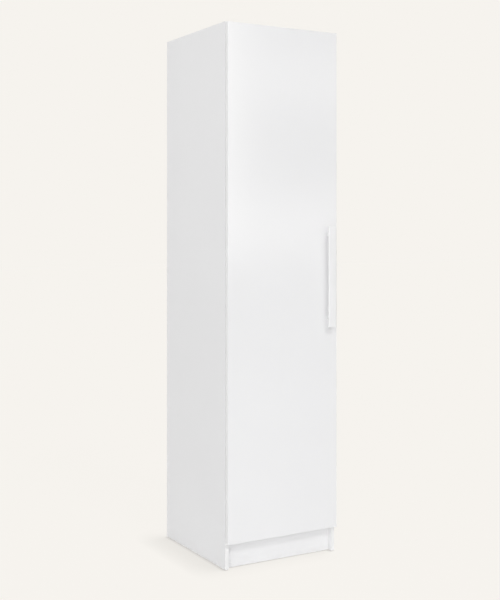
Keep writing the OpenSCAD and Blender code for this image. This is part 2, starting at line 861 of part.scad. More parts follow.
// Mounting plate: two wings with euro screws and a raised rail that the arm straddles
module hinge_plates() {
    color("silver") at_hinges() difference() {
        union() {
            rotate([90, 0, 90]) linear_extrude(plate_t) {
                translate([plate_inset, 0]) for (s = [-1, 1]) {
                    translate([0, s * plate_screw_step / 2]) circle(d = plate_w);
                    translate([-plate_w / 2, s > 0 ? 0 : -plate_screw_step / 2])
                        square([plate_w, plate_screw_step / 2]);
                }
                translate([plate_inset - plate_foot_lead, -plate_foot.y / 2]) square(plate_foot);
            }
            translate([plate_t, plate_inset - rail_lead, -rail_half])
                cube([arm_rise - cheek_t - plate_t, rail_l, 2 * rail_half]);
        }
        for (s = [-1, 1])
            along_x([-over, plate_inset, s * plate_screw_step / 2],
                    plate_screw_d + 2 * seat_fit, plate_t + 2 * over);
        for (y = arm_screw_ys)
            along_x([plate_t + 1, y, 0], arm_screw_d + 2 * seat_fit, arm_rise);
    }
}

module hinge_plate_screws() {
    color("silver") at_hinges() for (s = [-1, 1])
        translate([plate_t, plate_inset, s * plate_screw_step / 2]) rotate([0, -90, 0])
            pan_screw(plate_screw_d, plate_screw_l + plate_t - 0.5, plate_screw_head);
}

// Outline of an arm's cheek: the straight rear part, and the nose with its two pivots
module arm_cheek_2d() {
    difference() {
        union() {
            polygon([
                [arm_skirt_x, arm_len], [arm_rise, arm_len], [arm_rise, outer_pivot.y + arm_nose],
                [outer_pivot.x - 6, outer_pivot.y + 9], outer_pivot + [1.4, 3.2],
                outer_pivot + [3.2, -1.4], [inner_pivot.x + 3.2, outer_pivot.y - 8],
                inner_pivot + [2.3, 0], inner_pivot + [-2.3, 0], inner_pivot + [-2.3, 5],
                [arm_rise - 6, plate_inset - 14], [arm_skirt_x, plate_inset - 10]
            ]);
            translate(outer_pivot) circle(d = arm_eye_d);
            translate(inner_pivot) circle(d = arm_inner_eye_d);
        }
        translate(outer_pivot) circle(d = outer_pin_d + 2 * seat_fit);
        translate(inner_pivot) circle(d = inner_pin_d + 2 * seat_fit);
    }
}

// Arm: a stamped channel, two cheeks under a web that rests on the mounting plate's rail
module hinge_arms() {
    web_y = outer_pivot.y + arm_nose;
    color("silver") at_hinges() difference() {
        union() {
            both_cheeks() translate([0, 0, arm_cheek_z]) linear_extrude(cheek_t) arm_cheek_2d();
            translate([arm_rise - cheek_t, web_y, -arm_cheek_z - cheek_t])
                cube([cheek_t, arm_len - web_y, 2 * (arm_cheek_z + cheek_t)]);
        }
        for (y = arm_screw_ys)
            along_x([arm_rise - cheek_t - over, y, 0], arm_screw_d + 2 * seat_fit,
                    cheek_t + 2 * over);
    }
}

module hinge_arm_screws() {
    color("silver") at_hinges() for (y = arm_screw_ys)
        translate([arm_rise, y, 0]) rotate([0, -90, 0])
            pan_screw(arm_screw_d, arm_rise - plate_t - 2, arm_screw_head);
}

// Pins of the arms: a riveted one for the outer link and a flush one for the inner link
module hinge_arm_pins() {
    rivet_z = outer_link_z + outer_link_t + rivet_air;
    color("silver") at_hinges() {
        translate(outer_pivot) {
            along_z([0, 0, -rivet_z], outer_pin_d, 2 * rivet_z);
            both_cheeks() translate([0, 0, rivet_z]) rotate_extrude()
                polygon([[0, 0], [rivet_d / 2, 0], [rivet_d / 2, rivet_h * 0.4],
                         [rivet_d / 3, rivet_h], [0, rivet_h]]);
        }
        translate(inner_pivot)
            along_z([0, 0, -arm_cheek_z - cheek_t], inner_pin_d, 2 * (arm_cheek_z + cheek_t));
    }
}

// Outer links: a pair of cranked side plates on each hinge, outside the arm's cheeks
module hinge_outer_links() {
    color("gainsboro") at_hinges() both_cheeks() translate([0, 0, outer_link_z])
        linear_extrude(outer_link_t) difference() {
            link_2d(outer_pivot, outer_knee, cup_outer_pivot, outer_link_w, outer_link_eyes);
            translate(outer_pivot) circle(d = outer_pin_d + 2 * run_fit);
            translate(cup_outer_pivot) circle(d = outer_pin_d + 2 * run_fit);
        }
}

// Inner links: one solid cranked link on each hinge, between the arm's cheeks. The bore at the cup's
// pin is wider than the pin by loose_play all round
module hinge_inner_links() {
    color("gainsboro") at_hinges() translate([0, 0, -inner_link_half])
        linear_extrude(2 * inner_link_half) difference() {
            link_2d(inner_pivot, inner_knee, cup_inner_pivot, inner_link_w, inner_link_eyes);
            translate(inner_pivot) circle(d = inner_pin_d + 2 * run_fit);
            translate(cup_inner_pivot) circle(d = loose_pin_d + 2 * loose_play);
        }
}

// Cup: a pressed steel pot in the door with a screw flange and two ears that hold the pins
module hinge_cups() {
    bore = cup_d - 2 * cup_wall;
    color("silver") at_hinges() translate([cup_offset, -door_gap, 0]) difference() {
        union() {
            rotate([90, 0, 0]) difference() {
                cylinder(h = cup_depth, d = cup_d);
                translate([0, 0, -over]) cylinder(h = cup_depth - cup_floor + over, d = bore);
            }
            difference() {
                rotate([-90, 0, 0]) linear_extrude(flange_t) flange_2d();
                along_y([0, -over, 0], bore, flange_t + 2 * over);
            }
            intersection() {
                along_y([0, -cup_depth, 0], cup_d, cup_depth);
                both_cheeks() translate([-cup_d / 2, -cup_depth + cup_floor / 2, ear_z])
                    cube([cup_d / 2 - cup_ear_setback, cup_depth - cup_floor / 2 - layer_air, cheek_t]);
            }
        }
        for (p = [cup_outer_pivot, cup_inner_pivot])
            along_z([p.x - cup_offset, p.y + door_gap, -cup_d],
                    (p == cup_outer_pivot ? outer_pin_d : loose_pin_d) + 2 * seat_fit, 2 * cup_d);
        for (s = [-1, 1])
            along_y([cup_screw_shift, -over, s * cup_screw_step / 2], cup_screw_d + 2 * seat_fit,
                    flange_t + 2 * over);
    }
}

// Outline of a cup's flange: a narrow ring round the pot and a cross bar for the two screws
module flange_2d() {
    intersection() {
        circle(d = cup_d + 2 * flange_rim);
        translate([-cup_d / 2 + layer_air, -cup_d]) square([2 * cup_d, 2 * cup_d]);
    }
    for (s = [-1, 1]) translate([cup_screw_shift, s * cup_screw_step / 2]) circle(d = flange_bar);
    translate([cup_screw_shift - flange_bar / 2, -cup_screw_step / 2])
        square([flange_bar, cup_screw_step]);
}

// Pins of the cups: short ones at the outer links, and a long thin one at the inner link
module hinge_cup_pins() {
    color("silver") at_hinges() {
        translate(cup_outer_pivot) both_cheeks()
            along_z([0, 0, outer_link_z - 0.1], outer_pin_d, ear_z + cheek_t - outer_link_z + 0.1);
        translate(cup_inner_pivot)
            along_z([0, 0, -ear_z - cheek_t], loose_pin_d, 2 * (ear_z + cheek_t));
    }
}

module hinge_cup_screws() {
    color("silver") at_hinges() for (s = [-1, 1])
        translate([cup_offset + cup_screw_shift, -door_gap + flange_t, s * cup_screw_step / 2])
            rotate([90, 0, 0]) pan_screw(cup_screw_d, cup_screw_l, cup_screw_head);
}

side_panel_left();
side_panel_right();
side_front_bands();
top_panel();
bottom_panel();
hat_shelf();
adjustable_shelf();
panel_front_bands();
plinth_board();
plinth_blocks();
plinth_block_screws();
back_board_upper();
back_board_lower();
back_joiner();
back_nails();
dowels();
cam_bolts();
cam_locks();
cam_caps();
shelf_pins();
hanging_rail();
rail_sockets();
rail_socket_screws();
floor_glides();
wall_brackets();
wall_bracket_screws();
door_bumpers();
door_board();
door_edge_bands();
handle();
handle_screws();
hinge_plates();
hinge_plate_screws();
hinge_arms();
hinge_arm_screws();
hinge_arm_pins();
hinge_outer_links();
hinge_inner_links();
hinge_cups();
hinge_cup_pins();
hinge_cup_screws();
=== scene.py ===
import json
import math

import bmesh
import bpy
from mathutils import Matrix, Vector

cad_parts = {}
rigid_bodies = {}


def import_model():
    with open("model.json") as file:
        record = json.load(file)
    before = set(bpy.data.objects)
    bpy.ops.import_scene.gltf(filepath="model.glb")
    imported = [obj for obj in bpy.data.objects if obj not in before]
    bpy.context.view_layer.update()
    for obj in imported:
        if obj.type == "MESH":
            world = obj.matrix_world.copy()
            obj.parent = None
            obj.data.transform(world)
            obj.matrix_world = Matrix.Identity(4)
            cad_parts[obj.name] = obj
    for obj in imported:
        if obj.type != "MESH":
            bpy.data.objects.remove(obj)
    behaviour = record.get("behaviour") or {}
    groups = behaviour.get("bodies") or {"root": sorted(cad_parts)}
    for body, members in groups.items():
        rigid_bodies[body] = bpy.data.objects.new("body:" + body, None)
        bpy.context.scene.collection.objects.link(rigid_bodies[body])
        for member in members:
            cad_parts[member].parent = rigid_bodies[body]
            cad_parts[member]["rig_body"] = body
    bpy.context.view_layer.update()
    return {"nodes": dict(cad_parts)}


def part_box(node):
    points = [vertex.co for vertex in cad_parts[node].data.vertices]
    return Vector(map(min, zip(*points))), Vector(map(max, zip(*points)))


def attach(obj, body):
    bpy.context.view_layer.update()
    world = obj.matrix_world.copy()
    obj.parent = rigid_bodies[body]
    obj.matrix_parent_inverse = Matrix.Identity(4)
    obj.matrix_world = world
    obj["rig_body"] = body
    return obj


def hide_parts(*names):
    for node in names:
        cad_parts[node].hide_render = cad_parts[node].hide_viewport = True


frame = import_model()
NODES = frame["nodes"]

MM = 0.001


def linear(value):
    """One channel of a display colour, 0 to 255, as the linear value that Blender uses."""
    v = value / 255
    return v / 12.92 if v <= 0.04045 else ((v + 0.055) / 1.055) ** 2.4


def display_colour(red, green, blue):
    return (linear(red), linear(green), linear(blue), 1)


def darker(tone, share):
    """A tone with its red, green and blue brought down to a share of themselves."""
    return [channel * share for channel in tone[:3]] + [1]


# Tone of the backdrop, and the neutral tone of the same lightness that other light meets
PAPER = display_colour(246, 243, 238)
PLAIN_PAPER = display_colour(243, 243, 243)

# Base colours of the object, linear. Where there are two, the surface varies between them
WHITE = (0.86, 0.86, 0.867, 1)
PRINTED_WHITE = (0.83, 0.83, 0.815, 1)
PLASTIC_WHITE = (0.82, 0.82, 0.81, 1)
TAPE_TONES = (0.87, 0.87, 0.872, 1), (0.852, 0.852, 0.85, 1)
LACQUER_TONES = (0.865, 0.865, 0.87, 1), (0.855, 0.855, 0.858, 1)
CHIP_TONES = (0.42, 0.29, 0.17, 1), (0.62, 0.48, 0.32, 1)
CHIP_SPECK = (0.18, 0.11, 0.06, 1)
FIBRE_TONES = (0.25, 0.145, 0.072, 1), (0.40, 0.255, 0.14, 1)
FIBRE_CLOUD = (0.46, 0.32, 0.19, 1)
NICKEL_TONES = (0.64, 0.63, 0.61, 1), (0.54, 0.53, 0.515, 1)
CHROME_TONES = (0.76, 0.77, 0.79, 1), (0.70, 0.71, 0.73, 1)
BEECH_TONES = (0.56, 0.37, 0.21, 1), (0.68, 0.49, 0.31, 1)
BEECH_RAY = (0.34, 0.19, 0.09, 1)
SILICONE_TONES = (0.86, 0.87, 0.88, 1), (0.76, 0.78, 0.80, 1)
DUST = (0.56, 0.53, 0.48, 1)
# Heights over the floor between which the dust on a board fades out
DUST_HEIGHTS = 0.002, 0.05
# How far a light tone falls at the other end of its variation
BOARD_VARIATION = 0.985
PLASTIC_VARIATION = 0.96


# Node helpers
class Graph:
    """A node tree, with short calls for what the materials and the world share."""

    def __init__(self, tree):
        self.tree = tree

    def node(self, kind, **inputs):
        """A new node with its inputs fed by name, where an underscore stands for a space."""
        made = self.tree.nodes.new(kind)
        for key, value in inputs.items():
            self.feed(made.inputs[key.replace("_", " ")], value)
        return made

    def feed(self, socket, value):
        """Links an output to the socket, or sets the socket's own value."""
        if isinstance(value, bpy.types.NodeSocket):
            self.tree.links.new(value, socket)
        else:
            socket.default_value = value

    def maths(self, operation, a, b=0.0):
        made = self.node("ShaderNodeMath")
        made.operation = operation
        self.feed(made.inputs[0], a)
        self.feed(made.inputs[1], b)
        return made.outputs["Value"]

    def choose(self, factor, a, b):
        """Shader a where factor is 0, and b where it is 1."""
        made = self.node("ShaderNodeMixShader")
        for socket, value in zip(made.inputs, (factor, a, b)):
            self.feed(socket, value)
        return made.outputs[0]


class Finish(Graph):
    """A material. Its scales count features in a metre, and its places are the object's own."""

    def __init__(self, name):
        self.material = bpy.data.materials.new(name)
        self.material.use_nodes = True
        super().__init__(self.material.node_tree)
        self.shader = self.tree.nodes["Principled BSDF"]
        self.coords = None

    def place(self, stretch=(1, 1, 1)):
        """The object's own coordinates in metres, stretched."""
        if self.coords is None:
            self.coords = self.node("ShaderNodeTexCoord").outputs["Object"]
        mapping = self.node("ShaderNodeMapping")
        self.feed(mapping.inputs["Vector"], self.coords)
        mapping.inputs["Scale"].default_value = stretch
        return mapping.outputs["Vector"]

    def noise(self, scale, detail, stretch=(1, 1, 1), roughness=0.5, distortion=0.0):
        made = self.node("ShaderNodeTexNoise", Scale=scale, Detail=detail,
                         Roughness=roughness, Distortion=distortion)
        self.feed(made.inputs["Vector"], self.place(stretch))
        return made.outputs["Fac"]

    def cells(self, scale, stretch, output="Distance"):
        made = self.node("ShaderNodeTexVoronoi", Scale=scale)
        self.feed(made.inputs["Vector"], self.place(stretch))
        return made.outputs[output]

    def waves(self, scale, axis):
        made = self.node("ShaderNodeTexWave", Scale=scale)
        made.bands_direction = axis
        self.feed(made.inputs["Vector"], self.place())
        return made.outputs["Fac"]

    def spread(self, value, low, high, start=0.3, end=0.7):
        """value from start to end, mapped to low to high and held there."""
        made = self.node("ShaderNodeMapRange", Value=value, From_Min=start, From_Max=end,
                         To_Min=low, To_Max=high)
        return made.outputs["Result"]

    def average(self, a, b, share):
        """A weighted mean, of a by share and of b by the rest."""
        return self.maths("ADD", self.maths("MULTIPLY", a, share),
                          self.maths("MULTIPLY", b, 1 - share))

    def blend(self, factor, a, b):
        made = self.node("ShaderNodeMix")
        made.data_type = "RGBA"
        self.feed(made.inputs["Factor"], factor)
        self.feed(made.inputs[6], a)
        self.feed(made.inputs[7], b)
        return made.outputs[2]

    def vary(self, value, tones):
        """The first tone where value is low, and the second where it is high."""
        return self.blend(self.spread(value, 0, 1), *tones)

    def height_over_floor(self):
        split = self.node("ShaderNodeSeparateXYZ")
        self.feed(split.inputs["Vector"], self.place())
        return split.outputs["Z"]

    def bump(self, height, distance, strength, under=None):
        made = self.node("ShaderNodeBump", Height=height, Distance=distance, Strength=strength)
        if under is not None:
            self.feed(made.inputs["Normal"], under)
        return made.outputs["Normal"]

    def surface(self, **inputs):
        for key, value in inputs.items():
            self.feed(self.shader.inputs[key.replace("_", " ")], value)
        return self.material


# Materials
def white_laminate(name, tone, gloss_low, gloss_high, peel):
    """Melamine-faced board: near-white, a fine orange peel, soft clouds of gloss, dust near the floor."""
    t = Finish(name)
    clouds = t.noise(2.3, 3)
    fine = t.noise(260, 4)
    base = t.vary(clouds, (tone, darker(tone, BOARD_VARIATION)))
    low = t.spread(t.height_over_floor(), 1, 0, *DUST_HEIGHTS)
    dust = t.maths("MULTIPLY", low, t.spread(t.noise(55, 6), 0, 0.07, 0.45, 0.75))
    base = t.blend(dust, base, DUST)
    rough = t.spread(t.average(clouds, fine, 0.7), gloss_low, gloss_high)
    skin = t.bump(t.noise(820, 3), 0.06 * MM, peel)
    skin = t.bump(t.noise(55, 2), 0.25 * MM, peel * 0.5, skin)
    return t.surface(Base_Color=base, Roughness=rough, Normal=skin, IOR=1.5)


def edge_band(name):
    """Extruded edge tape: the tone of the board, with faint drawing lines along it."""
    t = Finish(name)
    base = t.vary(t.noise(9, 3), TAPE_TONES)
    lines = t.noise(900, 3, (1, 1, 0.02))
    rough = t.spread(lines, 0.34, 0.46)
    return t.surface(Base_Color=base, Roughness=rough, Normal=t.bump(lines, 0.03 * MM, 0.4))


def chipboard(name):
    """The raw core of a board where it is cut, drilled or grooved: pressed flakes and dark specks."""
    t = Finish(name)
    flake_scale, flake_stretch = 420, (1, 1, 1.6)
    flakes = t.cells(flake_scale, flake_stretch, "Color")
    shade = t.node("ShaderNodeSeparateColor", Color=flakes).outputs["Red"]
    base = t.blend(t.spread(shade, 0, 1, 0.1, 0.9), *CHIP_TONES)
    base = t.blend(t.spread(t.noise(900, 5), 0, 0.6, 0.6, 0.72), base, CHIP_SPECK)
    relief = t.bump(t.cells(flake_scale, flake_stretch), 0.25 * MM, 0.7)
    return t.surface(Base_Color=base, Roughness=0.85, Normal=relief)


def hardboard_rear(name):
    """The rough face of hardboard: brown fibres under the net pattern of the pressing screen."""
    t = Finish(name)
    fibres = t.noise(330, 6, (0.5, 1, 1), 0.65, 0.6)
    base = t.vary(fibres, FIBRE_TONES)
    base = t.blend(t.spread(t.noise(5, 4), 0, 0.35), base, FIBRE_CLOUD)
    net = t.maths("MULTIPLY", t.waves(250, "X"), t.waves(250, "Z"))
    rough = t.spread(fibres, 0.7, 0.9)
    skin = t.bump(net, 0.25 * MM, 0.6, t.bump(fibres, 0.2 * MM, 0.5))
    return t.surface(Base_Color=base, Roughness=rough, Normal=skin)


def lacquer(name):
    """White lacquer on a cast bar: even and satin, with a faint texture."""
    t = Finish(name)
    base = t.vary(t.noise(14, 3), LACQUER_TONES)
    rough = t.spread(t.noise(120, 4), 0.42, 0.5)
    skin = t.bump(t.noise(420, 2), 0.01 * MM, 0.2)
    return t.surface(Base_Color=base, Roughness=rough, Normal=skin)


def plated(name):
    """Nickel-plated pressed steel: a clouded sheen with fine handling marks."""
    t = Finish(name)
    clouds = t.noise(60, 4)
    marks = t.noise(700, 4, (1, 0.06, 1))
    base = t.vary(clouds, NICKEL_TONES)
    rough = t.spread(t.average(clouds, marks, 0.5), 0.2, 0.42)
    skin = t.bump(marks, 0.03 * MM, 0.35)
    return t.surface(Base_Color=base, Metallic=1.0, Roughness=rough, Normal=skin)


def chrome(name):
    """Polished chrome tube, with drawing lines along it so faint that they only soften the glints."""
    t = Finish(name)
    lines = t.noise(500, 3, (0.01, 1, 1))
    smear = t.noise(26, 4)
    base = t.vary(smear, CHROME_TONES)
    rough = t.spread(t.average(lines, smear, 0.4), 0.05, 0.16)
    skin = t.bump(lines, 0.01 * MM, 0.3)
    return t.surface(Base_Color=base, Metallic=1.0, Roughness=rough, Normal=skin)


def beech(name):
    """Raw turned beech: straight grain along X with short dark rays."""
    t = Finish(name)
    grain = t.noise(240, 4, (0.08, 1, 1))
    rays = t.spread(t.noise(900, 2, (0.12, 1, 1)), 0, 0.5, 0.6, 0.75)
    base = t.blend(rays, t.vary(grain, BEECH_TONES), BEECH_RAY)
    return t.surface(Base_Color=base, Roughness=0.62, Normal=t.bump(grain, 0.08 * MM, 0.5))


def plastic(name, tone):
    """Moulded plastic with the fine pits of a spark-eroded mould."""
    t = Finish(name)
    base = t.vary(t.noise(24, 3), (tone, darker(tone, PLASTIC_VARIATION)))
    rough = t.spread(t.noise(90, 3), 0.4, 0.55)
    skin = t.bump(t.noise(1500, 3), 0.04 * MM, 0.5)
    return t.surface(Base_Color=base, Roughness=rough, Normal=skin)


def silicone(name):
    """Clear soft pad, a little cloudy inside."""
    t = Finish(name)
    base = t.vary(t.noise(300, 3), SILICONE_TONES)
    rough = t.spread(t.noise(500, 3), 0.12, 0.3)
    return t.surface(Base_Color=base, Roughness=rough, Transmission_Weight=0.55, IOR=1.41)


LOOKS = {
    "front": white_laminate("door_laminate", WHITE, 0.10, 0.13, 0.05),
    "board": white_laminate("carcass_laminate", WHITE, 0.36, 0.44, 0.35),
    "band": edge_band("edge_tape"),
    "core": chipboard("raw_chipboard"),
    "back": white_laminate("printed_hardboard", PRINTED_WHITE, 0.44, 0.52, 0.6),
    "rear": hardboard_rear("raw_hardboard"),
    "lacquer": lacquer("handle_lacquer"),
    "steel": plated("plated_steel"),
    "chrome": chrome("chrome_tube"),
    "beech": beech("beech"),
    "plastic": plastic("white_plastic", PLASTIC_WHITE),
    "pad": silicone("clear_silicone"),
}

# Each look with the record's slot and the CAD nodes that have it
FINISHES = {
    "board": ("white_board", ["side_panel_left", "side_panel_right", "top_panel", "bottom_panel",
                              "hat_shelf", "adjustable_shelf", "plinth_board"]),
    "front": ("white_board", ["door_board"]),
    "band": ("white_edge", ["side_front_bands", "panel_front_bands", "door_edge_bands"]),
    "back": ("hardboard", ["back_board_upper", "back_board_lower"]),
    "lacquer": ("white_lacquer", ["handle"]),
    "steel": ("plated_steel", ["plinth_block_screws", "back_nails", "cam_bolts", "cam_locks", "shelf_pins",
                               "rail_socket_screws", "wall_brackets", "wall_bracket_screws",
                               "handle_screws", "hinge_plates", "hinge_plate_screws", "hinge_arms",
                               "hinge_arm_screws", "hinge_arm_pins", "hinge_outer_links",
                               "hinge_inner_links", "hinge_cups", "hinge_cup_pins",
                               "hinge_cup_screws"]),
    "chrome": ("chrome_tube", ["hanging_rail", "rail_sockets"]),
    "beech": ("beech", ["dowels"]),
    "plastic": ("white_plastic", ["plinth_blocks", "back_joiner", "cam_caps", "floor_glides"]),
    "pad": ("soft_clear", ["door_bumpers"]),
}
FINISH_OF = {}
for look, (slot_name, node_names) in FINISHES.items():
    for node_name in node_names:
        FINISH_OF[node_name] = (LOOKS[look], slot_name)
        mesh = NODES[node_name].data
        mesh.materials.clear()
        mesh.materials.append(LOOKS[look])


# Dressed copies
WELD = 0.002 * MM
FLAT_ANGLE = math.radians(0.3)
ROUNDED_ANGLE = math.radians(40)
SMOOTH_ANGLE = math.radians(35)
BOARD_ROUND = 0.35 * MM
BAND_ROUND = 0.55 * MM
SHELF_BAND_ROUND = 0.4 * MM
HANDLE_ROUND = 0.5 * MM
# A face whose centre lies deeper than this inside a board's box shows the board's core
CORE_DEPTH = 0.5 * MM
# Faces that look down below this height are the sawn lower ends of the boards
LOWER_END = 4 * MM
# An edge this near to two sides of a box lies on the box's own edge
ON_CORNER = 0.02 * MM
# The least share of a normal along an axis for a face to count as facing that way
FACING = 0.9


def dressed(node_name, piece_name, width, segments=2, picked=None):
    """A copy of a CAD node with its sharp edges rounded by width. picked says which edges, from an
    edge's two ends and the two faces' normals."""
    source = NODES[node_name]
    material, slot_name = FINISH_OF[node_name]
    bm = bmesh.new()
    bm.from_mesh(source.data)
    bmesh.ops.remove_doubles(bm, verts=bm.verts, dist=WELD)
    bmesh.ops.dissolve_limit(bm, angle_limit=FLAT_ANGLE, verts=bm.verts, edges=bm.edges)
    sharp = []
    for edge in bm.edges:
        if len(edge.link_faces) == 2 and edge.calc_face_angle(0) > ROUNDED_ANGLE:
            normals = [f.normal for f in edge.link_faces]
            if picked is None or picked(edge.verts[0].co, edge.verts[1].co, normals):
                sharp.append(edge)
    if sharp and width:
        bmesh.ops.bevel(bm, geom=sharp, offset=width, offset_type="OFFSET", segments=segments,
                        profile=0.5, affect="EDGES", clamp_overlap=True, miter_outer="ARC",
                        harden_normals=False)
    mesh = bpy.data.meshes.new(piece_name)
    bm.to_mesh(mesh)
    bm.free()
    mesh.materials.append(material)
    mesh.polygons.foreach_set("use_smooth", [True] * len(mesh.polygons))
    mesh.set_sharp_from_angle(angle=SMOOTH_ANGLE)
    piece = bpy.data.objects.new(piece_name, mesh)
    bpy.context.scene.collection.objects.link(piece)
    weighted = piece.modifiers.new("weighted_normals", "WEIGHTED_NORMAL")
    weighted.keep_sharp = True
    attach(piece, source["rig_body"])
    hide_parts(node_name)
    return piece


def paint(piece, look, wanted):
    """Gives the faces that wanted(centre, normal) picks another material."""
    mesh = piece.data
    mesh.materials.append(LOOKS[look])
    index = len(mesh.materials) - 1
    for face in mesh.polygons:
        if wanted(face.center, face.normal):
            face.material_index = index


def inside(low, high):
    """Picks the faces that lie inside a box, such as the walls of bores and grooves."""
    def test(centre, normal):
        return all(low[i] + CORE_DEPTH < centre[i] < high[i] - CORE_DEPTH for i in range(3))
    return test


def lower_end(centre, normal):
    return normal.z < -FACING and centre.z < LOWER_END


def rear_face(centre, normal):
    """Picks all of a back board but its printed face, which looks to the front."""
    return normal.y > -FACING


def front_edges(a, b, normals):
    return any(n.y < -FACING for n in normals)


def box_edges(low, high):
    """Picks the edges that lie on an edge of a box, where an edge band is rounded."""
    def test(a, b, normals):
        middle = (a + b) / 2
        at = [min(abs(middle[i] - low[i]), abs(middle[i] - high[i])) < ON_CORNER for i in range(3)]
        return sum(at) >= 2
    return test


# Boards, whose cuts show the core
BOARDS = [
    ("side_panel_left", "left_side_board"),
    ("side_panel_right", "right_side_board"),
    ("top_panel", "top_board"),
    ("bottom_panel", "bottom_board"),
    ("hat_shelf", "fixed_shelf"),
    ("adjustable_shelf", "loose_shelf"),
    ("plinth_board", "plinth_front"),
]
REACH_FLOOR = ["side_panel_left", "side_panel_right", "plinth_board"]
for node_name, piece_name in BOARDS:
    board = dressed(node_name, piece_name, BOARD_ROUND)
    paint(board, "core", inside(*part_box(node_name)))
    if node_name in REACH_FLOOR:
        paint(board, "core", lower_end)

dressed("side_front_bands", "side_edge_tape", BAND_ROUND, 3, box_edges(*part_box("side_front_bands")))
dressed("door_edge_bands", "door_edge_tape", BAND_ROUND, 3, box_edges(*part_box("door_edge_bands")))
dressed("panel_front_bands", "shelf_edge_tape", SHELF_BAND_ROUND, 3, front_edges)
door = dressed("door_board", "door_panel", 0.0)
paint(door, "core", inside(*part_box("door_board")))

for half in ("upper", "lower"):
    back = dressed(f"back_board_{half}", f"{half}_back_sheet", 0.0)
    paint(back, "rear", rear_face)

dressed("handle", "bar_handle", HANDLE_ROUND, 3)

# Fittings, with the radius of their edges in millimetres
FITTINGS = [
    ("hinge_arms", "hinge_arm_channels", 0.2),
    ("hinge_cups", "hinge_cup_pots", 0.15),
    ("hinge_plates", "hinge_mounting_plates", 0.25),
    ("hinge_outer_links", "hinge_side_links", 0.15),
    ("hinge_inner_links", "hinge_middle_links", 0.3),
    ("wall_brackets", "tip_brackets", 0.3),
    ("back_joiner", "back_joint_strip", 0.3),
    ("rail_sockets", "rail_end_cups", 0.4),
    ("plinth_blocks", "plinth_angle_blocks", 0.5),
]
for node_name, piece_name, radius in FITTINGS:
    dressed(node_name, piece_name, radius * MM)

# Floor
# Half of the floor's side in metres
HALF_FLOOR = 30
# Share of the floor's look that real light makes. The rest glows in the backdrop's tone, even but for the
# painted shadow below
SHADOW_DEPTH = 0.03
# How bright the open floor is lit, where 1 renders its colour as it is written
FLOOR_LIGHT = 0.72
# Painted shadow on the floor: its glow is darkened where the object closes the view from the floor.
# How near it counts, the strength, and the way the view looks, straight up where none is given.
# The tilted ones lay the painted shadow on the object's left, as if lit from the right front
PAINTED_FLOOR_SHADE = [
    (0.01, 0.11, None),
    (0.013, 0.29, (0.85, -0.42, 0.32)),
    (0.135, 0.24, (0.8, -0.5, 0.33)),
]
PAINTED_SHADE_SAMPLES = 24


def painted_floor_shade_factor(t, distance, strength, facing):
    """Painted shadow: 1 in the open, and darker by strength times the share of the view from the floor
    that the object closes within distance."""
    made = t.node("ShaderNodeAmbientOcclusion", Distance=distance)
    made.samples = PAINTED_SHADE_SAMPLES
    if facing is not None:
        side = t.node("ShaderNodeCombineXYZ", X=facing[0], Y=facing[1], Z=facing[2])
        t.feed(made.inputs["Normal"], side.outputs["Vector"])
    closed = t.maths("SUBTRACT", 1.0, made.outputs["AO"])
    return t.maths("SUBTRACT", 1.0, t.maths("MULTIPLY", closed, strength))


def paper_floor():
    """The pale floor. Seen directly or in a gloss it is the even tone of the backdrop with the
    object's shadow laid over it, a faint real one from the share of real light and a painted one in
    its glow, and other light meets plain pale paper."""
    t = Finish("floor_paper")
    rays = t.node("ShaderNodeLightPath").outputs
    seen = t.maths("MAXIMUM", rays["Is Camera Ray"],
                   t.maths("MAXIMUM", rays["Is Glossy Ray"], rays["Is Transmission Ray"]))
    t.surface(Base_Color=t.blend(seen, PLAIN_PAPER, PAPER), Roughness=0.9, Specular_IOR_Level=0.0)
    # Painted shadow: the glow is darkened where the object closes the floor's view
    shadow = 1.0
    for view in PAINTED_FLOOR_SHADE:
        shadow = t.maths("MULTIPLY", shadow, painted_floor_shade_factor(t, *view))
    plain = (1 - SHADOW_DEPTH * FLOOR_LIGHT) / (1 - SHADOW_DEPTH)
    glow = t.node("ShaderNodeEmission", Color=PAPER, Strength=t.maths("MULTIPLY", shadow, plain))
    shown = t.choose(t.maths("MULTIPLY", seen, 1 - SHADOW_DEPTH), t.shader.outputs[0], glow.outputs[0])
    t.feed(t.tree.nodes["Material Output"].inputs["Surface"], shown)
    return t.material


floor_mesh = bpy.data.meshes.new("floor")
floor_mesh.from_pydata([(-HALF_FLOOR, -HALF_FLOOR, 0), (HALF_FLOOR, -HALF_FLOOR, 0),
                        (HALF_FLOOR, HALF_FLOOR, 0), (-HALF_FLOOR, HALF_FLOOR, 0)],
                       [], [(0, 1, 2, 3)])
floor = bpy.data.objects.new("floor", floor_mesh)
floor_mesh.materials.append(paper_floor())
bpy.context.scene.collection.objects.link(floor)

# World
# Strength of the even white room that lights the object. The camera and glosses don't see it
WORLD_LIGHT = 0.405
# Soft boxes and one flag that glosses see in the backdrop: turn, rise, half width, half height, the
# softness of their edges across and up, all in degrees, and the strength that each adds to 1
SOFT_BOXES = [
    (20.0, 11.5, 9.3, 12.0, 0.9, 5.0, 3.7),
    (33.0, 0.2, 12.0, 1.5, 3.0, 1.6, 1.6),
    (33.6, 8.3, 3.4, 1.3, 2.0, 1.2, 1.3),
    (31.6, 4.6, 1.6, 1.6, 1.6, 1.6, -0.5),
    (62.0, 40.0, 24.0, 16.0, 3.0, 3.0, 2.0),
    (-58.0, 24.0, 16.0, 20.0, 4.0, 4.0, 1.2),
]
# Directions whose cosine from a box's middle is less than this show nothing of it
BOX_AHEAD = 0.1
# The least cosine that is divided by, so that the quotient stays finite
LEAST_COSINE = 0.05


def direction(turn, rise):
    """The unit vector towards turn degrees right of the front, -Y, and rise degrees up."""
    a, e = math.radians(turn), math.radians(rise)
    return (math.sin(a) * math.cos(e), -math.cos(a) * math.cos(e), math.sin(e))


